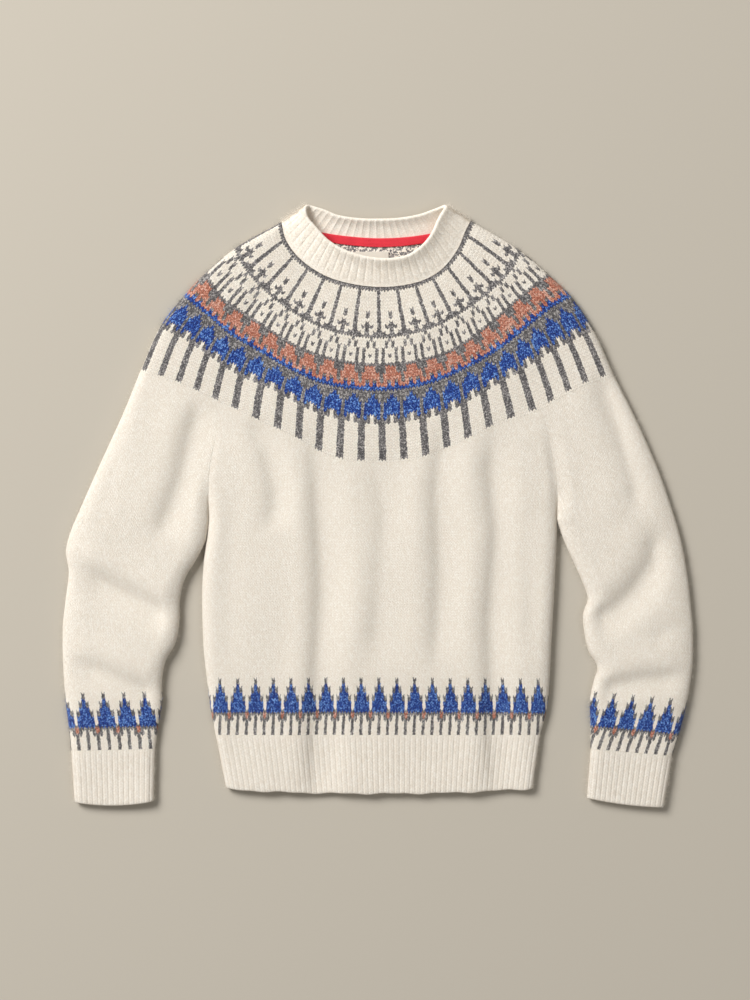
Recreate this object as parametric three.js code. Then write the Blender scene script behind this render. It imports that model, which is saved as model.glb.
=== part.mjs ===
// Fair isle jumper with a round patterned yoke, laid flat on a surface.
// Millimetres. X runs across from cuff to cuff, Y from hem to neck, Z up; the surface is z = 0.
// The back layer rests on the surface and the front layer lies over it, so each tube of the
// garment is two layers that turn into each other at a rolled edge.

import * as THREE from 'three';

const WALL = 3;             // thickness of the brushed wool knit
const AIR = 3.2;            // air between back and front layer where the cloth is smooth
const SEAM = 0.3;           // gap left between two joined pieces
const BACK = WALL / 2;                  // middle of the back layer
const FRONT = WALL * 1.5 + AIR;         // middle of the front layer
const EDGE = (FRONT - BACK) / 2;        // radius of a rolled edge, to the middle of the wall
const LEVEL = (FRONT + BACK) / 2;       // height at which an edge turns, and side seams run
const CLEAR = (WALL + SEAM) / 2;        // from a rolled edge's outline to the middle of its wall
// Where two pieces meet in facets their walls come nearer than the gap at the corners, so these
// seams are drawn wider for their narrowest places to stay near the gap.
const FOOT_GAP = 1.0;       // foot of the yoke to the panels and sleeves
const SIDE_GAP = 0.62;      // front panel to back panel along a rolled side
const RIB_GAP = 0.52;       // hem and cuffs to the cloth above them
const NECK_START = 0.022;   // where the collar starts, as a share of its height

const YOKE_ROWS = 53;       // rows of knitting from neck seam to the foot of the yoke
const COLLAR_RISE = 8.2;    // how far the collar's edge stands above the layer it leaves
const TIP_ROUND = 6;        // how far from its two folds the collar's open edge starts to turn
const TAPE = 0.8;           // thickness of the neck tape
const LABEL = 0.6;          // thickness of the neck label

// ---------------------------------------------------------------- small tools

const flat = (x, y) => new THREE.Vector3(x, y, 0);

// A smooth line through points given as [x, y]; at(f) is the point a fraction f along it.
function line(points) {
  const curve = new THREE.CatmullRomCurve3(points.map(([x, y]) => flat(x, y)), false, 'centripetal');
  curve.arcLengthDivisions = 300;
  return { at: (f) => curve.getPointAt(Math.min(1, Math.max(0, f))), length: curve.getLength() };
}

// The stretch of a line from fraction a to fraction b, as a line of its own.
function stretch(whole, a, b) {
  return { at: (f) => whole.at(a + (b - a) * f), length: whole.length * Math.abs(b - a) };
}

function straight(p, q) {
  return { at: (f) => p.clone().lerp(q, f), length: p.distanceTo(q) };
}

// A straight line from p to q that takes on the bow of another line as share goes from 0 to 1.
function bowed(p, q, other, share) {
  const a = other.at(0);
  const b = other.at(1);
  const at = (f) => {
    const bow = other.at(f).sub(a.clone().lerp(b, f)).multiplyScalar(share);
    return p.clone().lerp(q, f).add(bow);
  };
  return { at, length: p.distanceTo(q) };
}

const ease = (f) => f * f * (3 - 2 * f);

// ---------------------------------------------------------------- folds of the front layer

// Each soft trough: [depth, half width, [x, y], [x, y], ...]
const TROUGHS = [
  [2.0, 13, [-71, 70], [-75, -60], [-78, -285]],
  [2.0, 14, [56, 60], [54, -70], [50, -285]],
  [1.2, 11, [118, 75], [112, 0], [108, -90]],
  [1.4, 12, [-130, 80], [-116, 40], [-112, -20]],
  [1.6, 9, [-196, 110], [-206, 58], [-225, 0]],
  [2.2, 9, [-318, -60], [-294, -75], [-267, -92], [-240, -105], [-214, -108]],
  [2.0, 9, [-308, -160], [-287, -170], [-264, -182], [-244, -190]],
  [1.4, 9, [221, 128], [239, 90], [254, 55], [264, 10]],
  [2.2, 10, [264, 10], [281, -48], [276, -80], [254, -108], [226, -118]],
  [2.0, 10, [232, -171], [270, -180], [308, -180]],
];

function distanceTo(x, y, a, b) {
  const dx = b[0] - a[0];
  const dy = b[1] - a[1];
  const f = Math.min(1, Math.max(0, ((x - a[0]) * dx + (y - a[1]) * dy) / (dx * dx + dy * dy)));
  return Math.hypot(x - a[0] - f * dx, y - a[1] - f * dy);
}

// How far the front layer sinks at a place.
function sink(x, y) {
  let deepest = 0;
  for (const [depth, width, ...way] of TROUGHS) {
    let near = Infinity;
    for (let i = 1; i < way.length; i += 1) {
      near = Math.min(near, distanceTo(x, y, way[i - 1], way[i]));
    }
    deepest = Math.max(deepest, depth * Math.exp(-((near / width) ** 2)));
  }
  return deepest;
}

// ---------------------------------------------------------------- walls through sections

// One layer's middle points across a section. side is 1 for the front layer and -1 for the back.
// Each end turns down (or up) round an edge: turn 1 is a full rolled edge, 0 lies flat.
// hold keeps an end short of the turning level by half a side seam.
function across(path, side, count, ends) {
  const steps = 3;
  const points = [];
  const place = (distance, height, fade) => {
    const p = path.at(distance / path.length);
    const fold = side > 0 ? sink(p.x, p.y) * fade : 0;
    points.push(new THREE.Vector3(p.x, p.y, height - fold));
  };
  const end = (spec, mirror) => {
    const first = spec.hold ? Math.asin(SIDE_GAP / 2 / EDGE) : 0;
    const turned = [];
    for (let i = 0; i < steps; i += 1) {
      const angle = first + (Math.PI / 2 - first) * (i / steps);
      const level = side > 0 ? FRONT : BACK;
      const round = LEVEL + side * EDGE * Math.sin(angle);
      const height = level + (round - level) * spec.turn;
      const inFlat = EDGE * (i / steps);
      const inRound = EDGE * (1 - Math.cos(angle));
      turned.push([inFlat + (inRound - inFlat) * spec.turn, height]);
    }
    if (mirror) {
      turned.reverse();
    }
    for (const [distance, height] of turned) {
      place(mirror ? path.length - distance : distance, height, 0);
    }
  };
  end(ends[0], false);
  for (let i = 0; i <= count; i += 1) {
    const fade = i === 0 || i === count ? 0.35 : 1;
    const reach = EDGE + (path.length - 2 * EDGE) * (i / count);
    place(reach, side > 0 ? FRONT : BACK, fade);
  }
  end(ends[1], true);
  return points;
}

// A whole ring: along the front path, round its far edge and back along the back path.
function ring(front, back, count) {
  const closed = { turn: 1, hold: false };
  const over = across(front, 1, count, [closed, closed]);
  const under = across(back, -1, count, [closed, closed]).reverse();
  return [...over, ...under.slice(1, -1)];
}

// The direction of a row at one of its points. At a loose edge it is taken from the edge's own curve.
function crosswise(row, j, looped) {
  const end = row.length - 1;
  const bend = (a, b, c) => a.clone().multiplyScalar(-3).addScaledVector(b, 4).sub(c);
  if (!looped && j === 0) {
    return bend(row[0], row[1], row[2]);
  }
  if (!looped && j === end) {
    return bend(row[end], row[end - 1], row[end - 2]).negate();
  }
  return row[(j + 1) % row.length].clone().sub(row[(j + end) % row.length]);
}

// A closed wall either side of a grid of middle points. Rows join up on themselves if looped.
function wall(rows, looped, thickness) {
  const deep = rows.length;
  const wide = rows[0].length;
  const pick = (i, j) => rows[Math.min(deep - 1, Math.max(0, i))][j];
  const points = [[], []];
  for (let i = 0; i < deep; i += 1) {
    for (let j = 0; j < wide; j += 1) {
      const along = pick(i + 1, j).clone().sub(pick(i - 1, j));
      const over = crosswise(rows[i], j, looped);
      const out = over.cross(along).normalize().multiplyScalar(thickness / 2);
      points[0].push(pick(i, j).clone().add(out));
      points[1].push(pick(i, j).clone().sub(out));
    }
  }
  const all = [...points[0], ...points[1]];
  const shift = points[0].length;
  const faces = [];
  const quad = (a, b, c, d) => faces.push(a, b, c, a, c, d);
  const last = looped ? wide : wide - 1;
  for (let i = 0; i < deep - 1; i += 1) {
    for (let j = 0; j < last; j += 1) {
      const a = i * wide + j;
      const b = i * wide + (j + 1) % wide;
      const c = (i + 1) * wide + (j + 1) % wide;
      const d = (i + 1) * wide + j;
      quad(a, b, c, d);
      quad(shift + a, shift + d, shift + c, shift + b);
    }
  }
  for (let j = 0; j < last; j += 1) {
    const k = (j + 1) % wide;
    const top = (deep - 1) * wide;
    quad(shift + j, shift + k, k, j);
    quad(top + j, top + k, shift + top + k, shift + top + j);
  }
  if (!looped) {
    for (let i = 0; i < deep - 1; i += 1) {
      const a = i * wide;
      const b = (i + 1) * wide;
      quad(a, b, shift + b, shift + a);
      quad(shift + a + wide - 1, shift + b + wide - 1, b + wide - 1, a + wide - 1);
    }
  }
  const geometry = new THREE.BufferGeometry();
  geometry.setAttribute('position', new THREE.Float32BufferAttribute(all.flatMap((p) => [p.x, p.y, p.z]), 3));
  geometry.setIndex(volume(all, faces) < 0 ? faces.reverse() : faces);
  return geometry;
}

function volume(points, faces) {
  let sum = 0;
  for (let i = 0; i < faces.length; i += 3) {
    const [a, b, c] = [points[faces[i]], points[faces[i + 1]], points[faces[i + 2]]];
    sum += a.dot(b.clone().cross(c));
  }
  return sum / 6;
}

// ---------------------------------------------------------------- the lines of the garment

// Rings of the yoke on the front, from left shoulder edge to right, by row counted from the neck.
const FRONT_RINGS = [
  [0, line([[-102, 298], [-98, 280], [-84, 260], [-52, 239], [0, 229], [44, 235], [67, 248], [84, 270], [91, 287], [97, 299]])],
  [15, line([[-151, 270], [-137, 245], [-104, 213], [-55, 185], [0, 176], [55, 186], [104, 214], [137, 244], [150, 267]])],
  [24, line([[-183, 243], [-167, 217], [-134, 195], [-72, 159], [0, 146], [72, 159], [118, 190], [150, 218], [180, 241]])],
  [30.5, line([[-203, 222], [-185, 207], [-154, 181], [-122, 162], [-90, 143.5], [-54, 129], [0, 122.8], [40, 127], [59, 132], [96, 148], [127, 166.5], [155, 189], [181, 210], [201, 221]])],
  [39, line([[-230, 187], [-206, 176], [-186, 163], [-151, 139], [-110, 121], [-69, 99], [-27, 88], [0, 85.5], [33, 89], [72, 98], [112, 120], [151, 142], [182, 162], [201, 172], [226, 184]])],
  [53, line([[-251, 140], [-211, 127], [-171, 109], [-128, 88.5], [-84, 68], [-62, 55], [-42, 47.5], [-10, 44.5], [25, 46], [50, 50], [86, 65], [130, 86], [172, 101], [208, 122], [248, 136]])],
];

// The back neck is cut higher, and the back of the yoke ends higher by the same amount.
const BACK_NECK = line([[-102, 298], [-88, 289], [-52, 280], [0, 275], [48, 279], [84, 289], [97, 299]]);
const BACK_FOOT = line([[-251, 140], [-188, 126], [-124, 108], [-60, 88], [0, 80], [60, 89], [124, 109], [186, 126], [248, 136]]);

// Where the armhole seams meet the foot of the yoke, as fractions of its front and back line.
const CORNERS = [0.161, 0.844];

// Armhole seams from the underarm up to the foot of the yoke.
const LEFT_SEAM = [[-178.5, -15], [-179, 5], [-177, 42], [-170, 80]];
const RIGHT_SEAM = [[187.5, -15], [188, 15], [184, 48], [176, 82]];

// Sections taken between underarm and yoke, as fractions of the armhole seam.
const ABOVE_UNDERARM = [0.1, 0.3, 0.55, 0.8, 1];

// Body side edges below the underarm: [y, left x, right x].
const BODY_SIDES = [
  [-241.5, -171.5, 170],
  [-215, -176.5, 177],
  [-184, -180.5, 180],
  [-152, -184, 181.5],
  [-89, -185.5, 185],
  [-58, -183.5, 186.5],
  [-32, -180, 187.5],
  [-15, -178.5, 187.5],
];

// Sleeve edges from cuff to shoulder: [outer x, outer y, inner x, inner y].
const LEFT_SLEEVE = [
  [-323.5, -258, -235, -256],
  [-326, -233, -231.5, -230],
  [-329, -208, -227.5, -207],
  [-331, -185, -228, -187],
  [-332, -165, -224, -164],
  [-332.5, -147, -214, -146],
  [-332, -123, -209.5, -122],
  [-329, -97, -209, -100],
  [-326, -70, -203, -76],
  [-329, -49, -192, -58],
  [-324, -28, -182, -37],
  [-313.5, -3, -178.5, -15],
];
const RIGHT_SLEEVE = [
  [309, -263.5, 223, -256],
  [317.5, -236, 223, -231],
  [324, -210, 222.5, -205],
  [328, -188, 226.5, -185],
  [330.5, -167, 230, -170],
  [331, -147, 221, -154],
  [330.5, -126, 217, -137],
  [328.5, -104, 215, -116],
  [326, -81, 220, -98],
  [323, -61, 214.5, -81],
  [319, -40, 206, -62],
  [313.5, -19, 195, -37],
  [307, 1, 187.5, -15],
];

// Outer edges from underarm level to the foot of the yoke.
const LEFT_SHOULDER = [[-313.5, -3], [-298, 32], [-282, 67], [-268, 98], [-251, 140]];
const RIGHT_SHOULDER = [[307, 1], [297, 30], [285, 59], [271, 90], [248, 136]];

const CUFF = { left: [[-320, -311.5, -236.5, -310.5], -4], right: [[300, -317, 219, -307], -2] };
const HEM_FOOT = [[-160.5, -298], [-90, -301.5], [-10, -302.5], [80, -301.5], [162, -297.5]];

// Collar: its open edge on the front and on the back, from left fold to right fold.
const COLLAR_FRONT = line([[-78, 315], [-75, 301], [-66, 290], [-54, 279], [-36, 269], [-13, 262], [8, 260], [29, 264], [44, 272], [56, 285], [64, 300], [73, 315]]);
const COLLAR_BACK = line([[-78, 315], [-58, 309], [-43, 303], [-20, 299.5], [0, 299], [22, 300], [44, 304], [58, 309], [73, 315]]);

// Pulls the middle of a wall in from the garment's outline, which is its outer face.
function inset(path, left, right) {
  const a = left / path.length;
  const b = 1 - right / path.length;
  return stretch(path, a, b);
}

// ---------------------------------------------------------------- yoke

// A ring of the yoke at any row, on the front.
function frontRing(row) {
  const column = (f) => {
    const spots = FRONT_RINGS.map(([, path]) => path.at(f));
    let k = FRONT_RINGS.findIndex(([at]) => at >= row);
    k = Math.max(1, k);
    const [from] = FRONT_RINGS[k - 1];
    const [to] = FRONT_RINGS[k];
    const spline = new THREE.CatmullRomCurve3(spots, false, 'centripetal');
    return spline.getPoint((k - 1 + (row - from) / (to - from)) / (spots.length - 1));
  };
  const samples = [];
  for (let i = 0; i <= 24; i += 1) {
    const p = column(i / 24);
    samples.push([p.x, p.y]);
  }
  return line(samples);
}

// A ring of the yoke on the back: it starts and ends at the same shoulder edges as the front one.
function backRing(row) {
  const front = frontRing(row);
  const share = row / YOKE_ROWS;
  const samples = [];
  for (let i = 0; i <= 24; i += 1) {
    const f = i / 24;
    const p = BACK_NECK.at(f).lerp(BACK_FOOT.at(f), share);
    const lean = Math.abs(2 * f - 1) ** 3;
    const end = front.at(f < 0.5 ? 0 : 1);
    const own = BACK_NECK.at(f < 0.5 ? 0 : 1).lerp(BACK_FOOT.at(f < 0.5 ? 0 : 1), share);
    p.add(end.sub(own).multiplyScalar(lean));
    samples.push([p.x, p.y]);
  }
  return line(samples);
}

function yoke() {
  const rows = [0.1, 7, 15, 24, 31, 37, 45, YOKE_ROWS - 0.1];
  const rings = rows.map((row) => ring(inset(frontRing(row), WALL / 2, WALL / 2), inset(backRing(row), WALL / 2, WALL / 2), 20));
  return wall(rings, true, WALL);
}

// ---------------------------------------------------------------- body

function bodyPanel(side, count) {
  const foot = side > 0 ? frontRing(YOKE_ROWS) : backRing(YOKE_ROWS);
  const top = stretch(foot, CORNERS[0], CORNERS[1]);
  const seams = [line([...LEFT_SEAM, top.at(0).toArray()]), line([...RIGHT_SEAM, top.at(1).toArray()])];
  const rows = [];
  for (const [y, left, right] of BODY_SIDES) {
    const path = straight(flat(left + CLEAR, y), flat(right - CLEAR, y));
    const hold = { turn: 1, hold: true };
    rows.push(across(path, side, count, [hold, hold]));
  }
  for (const f of ABOVE_UNDERARM) {
    const turn = f < 0.2 ? 0.5 : 0;
    const drop = f === 1 ? FOOT_GAP : 0;
    const aside = turn > 0 ? CLEAR : SEAM / 2;
    const p = seams[0].at(f).add(flat(aside, -drop));
    const q = seams[1].at(f).add(flat(-aside, -drop));
    const path = bowed(p, q, top, ease(f));
    rows.push(across(path, side, count, [{ turn, hold: true }, { turn, hold: true }]));
  }
  return wall(rows, false, WALL);
}

// ---------------------------------------------------------------- sleeves

function sleeve(edges, shoulder, seam, hand, count) {
  const foot = { 1: frontRing(YOKE_ROWS), [-1]: backRing(YOKE_ROWS) };
  const corner = hand < 0 ? CORNERS[0] : CORNERS[1];
  const outside = line(shoulder);
  const rows = [];
  const closed = { turn: 1, hold: false };
  const both = (make, turn) => {
    const held = { turn, hold: true };
    const over = across(make(1), 1, count, [held, closed]);
    const under = across(make(-1), -1, count, [held, closed]).reverse();
    rows.push([...over, ...under.slice(1)]);
  };
  for (const [outerX, outerY, innerX, innerY] of edges) {
    const inner = flat(innerX, innerY);
    const outer = flat(outerX, outerY);
    const full = straight(inner, outer);
    const path = inset(full, CLEAR, CLEAR);
    both(() => path, 1);
  }
  for (const f of ABOVE_UNDERARM) {
    const turn = f < 0.2 ? 0.5 : 0;
    const make = (side) => {
      const top = stretch(foot[side], corner, hand < 0 ? 0 : 1);
      const inner = line([...seam, top.at(0).toArray()]).at(f);
      const outer = outside.at(f);
      const way = bowed(inner, outer, top, ease(f));
      const path = inset(way, turn > 0 ? CLEAR : SEAM / 2, CLEAR);
      const drop = f === 1 ? FOOT_GAP : 0;
      return { at: (u) => path.at(u).add(flat(0, -drop)), length: path.length };
    };
    both(make, turn);
  }
  return wall(rows, false, WALL);
}

// ---------------------------------------------------------------- ribs

function hemRib() {
  const foot = line(HEM_FOOT);
  const [y, left, right] = BODY_SIDES[0];
  const top = straight(flat(left, y - RIB_GAP), flat(right, y - RIB_GAP));
  const rows = [0, 0.5, 1].map((f) => {
    const path = bowed(top.at(0).lerp(foot.at(0), f), top.at(1).lerp(foot.at(1), f), foot, f);
    return ring(inset(path, WALL / 2, WALL / 2), inset(path, WALL / 2, WALL / 2), 16);
  });
  return wall(rows, true, WALL);
}

function cuff(first, [foot, sag]) {
  const [outerX, outerY, innerX, innerY] = first;
  const top = straight(flat(innerX, innerY - RIB_GAP), flat(outerX, outerY - RIB_GAP));
  const end = straight(flat(foot[2], foot[3]), flat(foot[0], foot[1]));
  const rows = [0, 0.5, 1].map((f) => {
    const at = (u) => top.at(u).lerp(end.at(u), f).add(flat(0, 4 * u * (1 - u) * sag * f));
    const path = { at, length: top.length + (end.length - top.length) * f };
    return ring(inset(path, WALL / 2, WALL / 2), inset(path, WALL / 2, WALL / 2), 6);
  });
  return wall(rows, true, WALL);
}

// Rounds the collar's open edge where its front and back meet at a fold. The fold is the point numbered tip.
function roundFold(edge, tip, f) {
  const reach = 3;
  const a = COLLAR_FRONT.at(Math.abs(f - TIP_ROUND / COLLAR_FRONT.length));
  const b = edge[tip];
  const c = COLLAR_BACK.at(Math.abs(f - TIP_ROUND / COLLAR_BACK.length));
  const [from, to] = f === 0 ? [c, a] : [a, c];
  const soft = new THREE.QuadraticBezierCurve3(from, b.clone().setZ(0), to);
  for (let k = -reach; k <= reach; k += 1) {
    const share = (k + reach) / (2 * reach);
    const down = f === 0 ? 1 - share : share;
    const p = soft.getPoint(share);
    edge[(tip + k + edge.length) % edge.length] = p.setZ(FRONT + (BACK - FRONT) * ease(down));
  }
}

// The collar's middle surface: rise 0 is the neck seam and 1 its open edge.
function collarRing(rise) {
  const count = 16;
  const neck = ring(inset(frontRing(0), WALL / 2, WALL / 2), inset(backRing(0), WALL / 2, WALL / 2), count);
  const over = across(COLLAR_FRONT, 1, count, [{ turn: 0 }, { turn: 0 }]);
  const under = across(COLLAR_BACK, -1, count, [{ turn: 0 }, { turn: 0 }]).reverse();
  const edge = [...over, ...under.slice(1, -1)];
  roundFold(edge, 0, 0);
  roundFold(edge, over.length - 1, 1);
  return neck.map((p, i) => {
    const q = edge[i];
    const out = ease(rise) * 0.25 + rise * 0.75;
    return p.clone().lerp(q, out).add(new THREE.Vector3(0, 0, COLLAR_RISE * rise ** 1.5));
  });
}

function neckRib() {
  return wall([NECK_START, 0.2, 0.5, 0.78, 1].map(collarRing), true, WALL);
}

// ---------------------------------------------------------------- tape and label inside the neck

// Tape over the back neck seam, on the inside: part of its width on the yoke, part on the collar.
function neckTape() {
  const reach = [-3.2, -1, 1.2, 3.4];
  const rows = reach.map((across) => {
    const row = [];
    for (let i = 0; i <= 14; i += 1) {
      const f = 0.17 + 0.66 * (i / 14);
      const p = BACK_NECK.at(f);
      const out = COLLAR_BACK.at(f).sub(p).normalize();
      const climb = across > 0 ? 0.14 * across : 0;
      row.push(new THREE.Vector3(p.x + out.x * across, p.y + out.y * across, WALL + 2 * SEAM + TAPE / 2 + climb));
    }
    return row;
  });
  return wall(rows, false, TAPE);
}

function neckLabel() {
  const rows = [266.5, 260.8, 255].map((y) => [-26, -8, 10].map((x) => new THREE.Vector3(x, y, WALL + SEAM + LABEL / 2)));
  return wall(rows, false, LABEL);
}

// ---------------------------------------------------------------- the garment

function piece(name, geometry, colour, roughness) {
  const material = new THREE.MeshStandardMaterial({ color: colour, roughness, metalness: 0 });
  material.name = name;
  const mesh = new THREE.Mesh(geometry, material);
  mesh.name = name;
  return mesh;
}

function jumper() {
  const cream = 0xeee8dc;
  const garment = new THREE.Group();
  garment.name = 'fair_isle_jumper';
  garment.add(piece('body_back', bodyPanel(-1, 14), cream, 0.95));
  garment.add(piece('body_front', bodyPanel(1, 20), cream, 0.95));
  garment.add(piece('sleeve_left', sleeve(LEFT_SLEEVE, LEFT_SHOULDER, LEFT_SEAM, -1, 6), cream, 0.95));
  garment.add(piece('sleeve_right', sleeve(RIGHT_SLEEVE, RIGHT_SHOULDER, RIGHT_SEAM, 1, 6), cream, 0.95));
  garment.add(piece('yoke', yoke(), 0x8f98ac, 0.95));
  garment.add(piece('neck_rib', neckRib(), cream, 0.95));
  garment.add(piece('hem_rib', hemRib(), cream, 0.95));
  garment.add(piece('cuff_left', cuff(LEFT_SLEEVE[0], CUFF.left), cream, 0.95));
  garment.add(piece('cuff_right', cuff(RIGHT_SLEEVE[0], CUFF.right), cream, 0.95));
  garment.add(piece('neck_tape', neckTape(), 0xe8202c, 0.7));
  garment.add(piece('neck_label', neckLabel(), 0xe9e4da, 0.8));
  const box = new THREE.Box3().setFromObject(garment);
  const centre = box.getCenter(new THREE.Vector3());
  for (const mesh of garment.children) {
    mesh.geometry.translate(-centre.x, -centre.y, -box.min.z);
  }
  return garment;
}

export default jumper();
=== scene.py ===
"""A fair isle jumper laid flat: brushed lambswool body and sleeves, a round yoke stranded in
four yarns, ribbed collar, hem and cuffs, a red tape over the back neck seam and a blank label.

Lengths below are in millimetres in the garment's own layout, and turn to metres as a mesh is made.
"""

import bpy
import math
import numpy as np
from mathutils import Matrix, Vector


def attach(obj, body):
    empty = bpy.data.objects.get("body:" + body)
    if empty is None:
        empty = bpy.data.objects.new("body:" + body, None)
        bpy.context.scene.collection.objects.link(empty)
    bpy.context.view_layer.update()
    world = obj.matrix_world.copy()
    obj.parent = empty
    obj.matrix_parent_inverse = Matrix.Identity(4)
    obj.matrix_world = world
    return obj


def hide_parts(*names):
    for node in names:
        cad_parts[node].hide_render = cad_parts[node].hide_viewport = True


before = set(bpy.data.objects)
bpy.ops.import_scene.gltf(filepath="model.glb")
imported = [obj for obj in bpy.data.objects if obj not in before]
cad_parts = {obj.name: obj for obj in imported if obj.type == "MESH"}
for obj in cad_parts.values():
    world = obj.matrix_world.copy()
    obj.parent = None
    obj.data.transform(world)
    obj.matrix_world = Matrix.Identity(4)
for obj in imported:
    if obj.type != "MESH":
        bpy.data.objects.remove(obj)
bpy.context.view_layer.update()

# ------------------------------------------------------------------ sizes

TO_FRAME = np.array([0.75, 1.17, 0.0])  # from the layout's lines to the part's own frame
CLOTH = 2.4  # thickness of the brushed knit
RIB_CLOTH = 2.2  # thickness of the rib between its ridges
RIB_HEIGHT = 0.45  # height of the hem's and the cuffs' ridges
LEVEL = 5.0  # height at which a rolled edge turns from front to back
HAIRLINE = 0.05  # half the gap in a sleeve's underarm seam
UNDERSIDE = 0.35  # the back layer's underside, over its bed of loose fibres
COURSE = 3.0  # height of one course of stitches
YOKE_COURSES = 53
TREE_BAND = 20  # courses of trees above each rib
BODY_STITCHES = 111  # stitches across the body at the hem
TREE_AT = 3.5  # stitch on which a tree stands, counted from the middle of the body or a sleeve's fold
SEAM_SIDE = 0.04  # how far a panel stays from the armhole line on its side
SLEEVE_TOP = 12.8  # height of a sleeve's upper face where it is fullest
SLEEVE_FOLD_ROLL = 18.0  # width of the roll along a sleeve's underarm
NECK_TOP = 9.8  # height of the yoke's upper face at the neck seam
COLLAR_DEPTH = 33.0
COLLAR_HALF = 1.3  # half the thickness of the collar at its seam
COLLAR_RISE = 8.2  # how far the collar's open edge stands up
COLLAR_LEVELS = (8.7, 1.9)  # height of the collar's front and back edge before it stands up
COLLAR_TIPS = 8.0  # length over which the collar's two tips are rounded
CLEARANCE = 0.4  # air between two layers that lie on each other

# ------------------------------------------------------------------ lines on the cloth


def spline(points, where):
    """Centripetal spline through points[k], at the positions `where` counted in points."""
    p = np.asarray(points, float)
    p = np.concatenate([[2 * p[0] - p[1]], p, [2 * p[-1] - p[-2]]])
    where = np.asarray(where, float)
    k = np.clip(np.floor(where).astype(int), 0, len(p) - 4)
    t = (where - k).reshape(-1, *([1] * (p.ndim - 1)))
    p0, p1, p2, p3 = p[k], p[k + 1], p[k + 2], p[k + 3]
    gap = [np.sqrt(np.linalg.norm(b - a, axis=-1, keepdims=True)) for a, b in ((p0, p1), (p1, p2), (p2, p3))]
    gap = [np.maximum(g, 1e-4) for g in gap]
    d1 = ((p1 - p0) / gap[0] - (p2 - p0) / (gap[0] + gap[1]) + (p2 - p1) / gap[1]) * gap[1]
    d2 = ((p2 - p1) / gap[1] - (p3 - p1) / (gap[1] + gap[2]) + (p3 - p2) / gap[2]) * gap[1]
    return p1 + t * (d1 + t * ((-3 * p1 + 3 * p2 - 2 * d1 - d2) + t * (2 * p1 - 2 * p2 + d1 + d2)))


class Line:
    """A smooth line on the cloth; at(f) gives the points at fractions f of its length."""

    def __init__(self, points, smooth=True):
        points = np.asarray(points, float)
        if smooth and len(points) > 2:
            points = spline(points, np.linspace(0, len(points) - 1, 40 * len(points)))
        self.spots = points
        steps = np.linalg.norm(np.diff(points, axis=0), axis=1)
        self.run = np.concatenate([[0], np.cumsum(steps)])
        self.length = self.run[-1]

    def at(self, f):
        run = np.asarray(f, float) * self.length
        return np.stack([np.interp(run, self.run, self.spots[:, k]) for k in range(2)], axis=-1)

    def stretch(self, a, b):
        return Line(self.at(np.linspace(a, b, 120)), smooth=False)


def ease(x):
    x = np.clip(x, 0, 1)
    return x * x * (3 - 2 * x)


def bowed(p, q, other, share):
    """From p to q, with the bow of another line taken on by a share of 0 to 1."""
    f = np.linspace(0, 1, 120)[:, None]
    bend = other.at(f[:, 0])
    chord = bend[0] * (1 - f) + bend[-1] * f
    return Line(np.asarray(p) * (1 - f) + np.asarray(q) * f + (bend - chord) * share, smooth=False)


FRONT_RINGS = [
    (0, [
        (-102, 298), (-98, 280), (-84, 260), (-52, 239), (0, 229), (44, 235), (67, 248), (84, 270),
        (91, 287), (97, 299),
    ]),
    (15, [
        (-151, 270), (-137, 245), (-104, 213), (-55, 185), (0, 176), (55, 186), (104, 214), (137, 244),
        (150, 267),
    ]),
    (24, [
        (-183, 243), (-167, 217), (-134, 195), (-72, 159), (0, 146), (72, 159), (118, 190), (150, 218),
        (180, 241),
    ]),
    (30.5, [
        (-203, 222), (-185, 207), (-154, 181), (-122, 162), (-90, 143.5), (-54, 129), (0, 122.8),
        (40, 127), (59, 132), (96, 148), (127, 166.5), (155, 189), (181, 210), (201, 221),
    ]),
    (39, [
        (-230, 187), (-206, 176), (-186, 163), (-151, 139), (-110, 121), (-69, 99), (-27, 88),
        (0, 85.5), (33, 89), (72, 98), (112, 120), (151, 142), (182, 162), (201, 172), (226, 184),
    ]),
    (53, [
        (-251, 140), (-211, 127), (-171, 109), (-128, 88.5), (-84, 68), (-62, 55), (-42, 47.5),
        (-10, 44.5), (25, 46), (50, 50), (86, 65), (130, 86), (172, 101), (208, 122), (248, 136),
    ]),
]
BACK_NECK = Line([(-102, 298), (-88, 289), (-52, 280), (0, 275), (48, 279), (84, 289), (97, 299)])
BACK_FOOT = Line([
    (-251, 140), (-188, 126), (-124, 108), (-60, 88), (0, 80), (60, 89), (124, 109), (186, 126),
    (248, 136),
])
COLLAR_FRONT = Line([
    (-78, 315), (-75, 301), (-66, 290), (-54, 277), (-36, 266), (-13, 259), (8, 257), (29, 260),
    (44, 269), (56, 283), (64, 300), (73, 315),
])
COLLAR_BACK = Line([
    (-78, 315), (-58, 309), (-43, 303), (-20, 299.5), (0, 299), (22, 300), (44, 304), (58, 309),
    (73, 315),
])
CORNERS = (0.161, 0.844)
LEFT_SEAM = [(-178.5, -15), (-179, 5), (-177, 42), (-170, 80)]
RIGHT_SEAM = [(187.5, -15), (188, 15), (184, 48), (176, 82)]
BODY_SIDES = np.array([
    (-241.5, -171.5, 170), (-215, -176.5, 177), (-184, -180.5, 180), (-152, -184, 181.5),
    (-89, -185.5, 185), (-58, -183.5, 186.5), (-32, -180, 187.5), (-15, -178.5, 187.5),
])
LEFT_SLEEVE = np.array([
    (-323.5, -258, -235, -256), (-326, -233, -231.5, -230), (-329, -208, -227.5, -207),
    (-331, -185, -228, -187),
    (-332, -165, -224, -164), (-332.5, -147, -214, -146), (-332, -123, -209.5, -122), (-329, -97, -209, -100),
    (-326, -70, -203, -76), (-329, -49, -192, -58), (-324, -28, -182, -37), (-313.5, -3, -178.5, -15),
])
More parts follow.
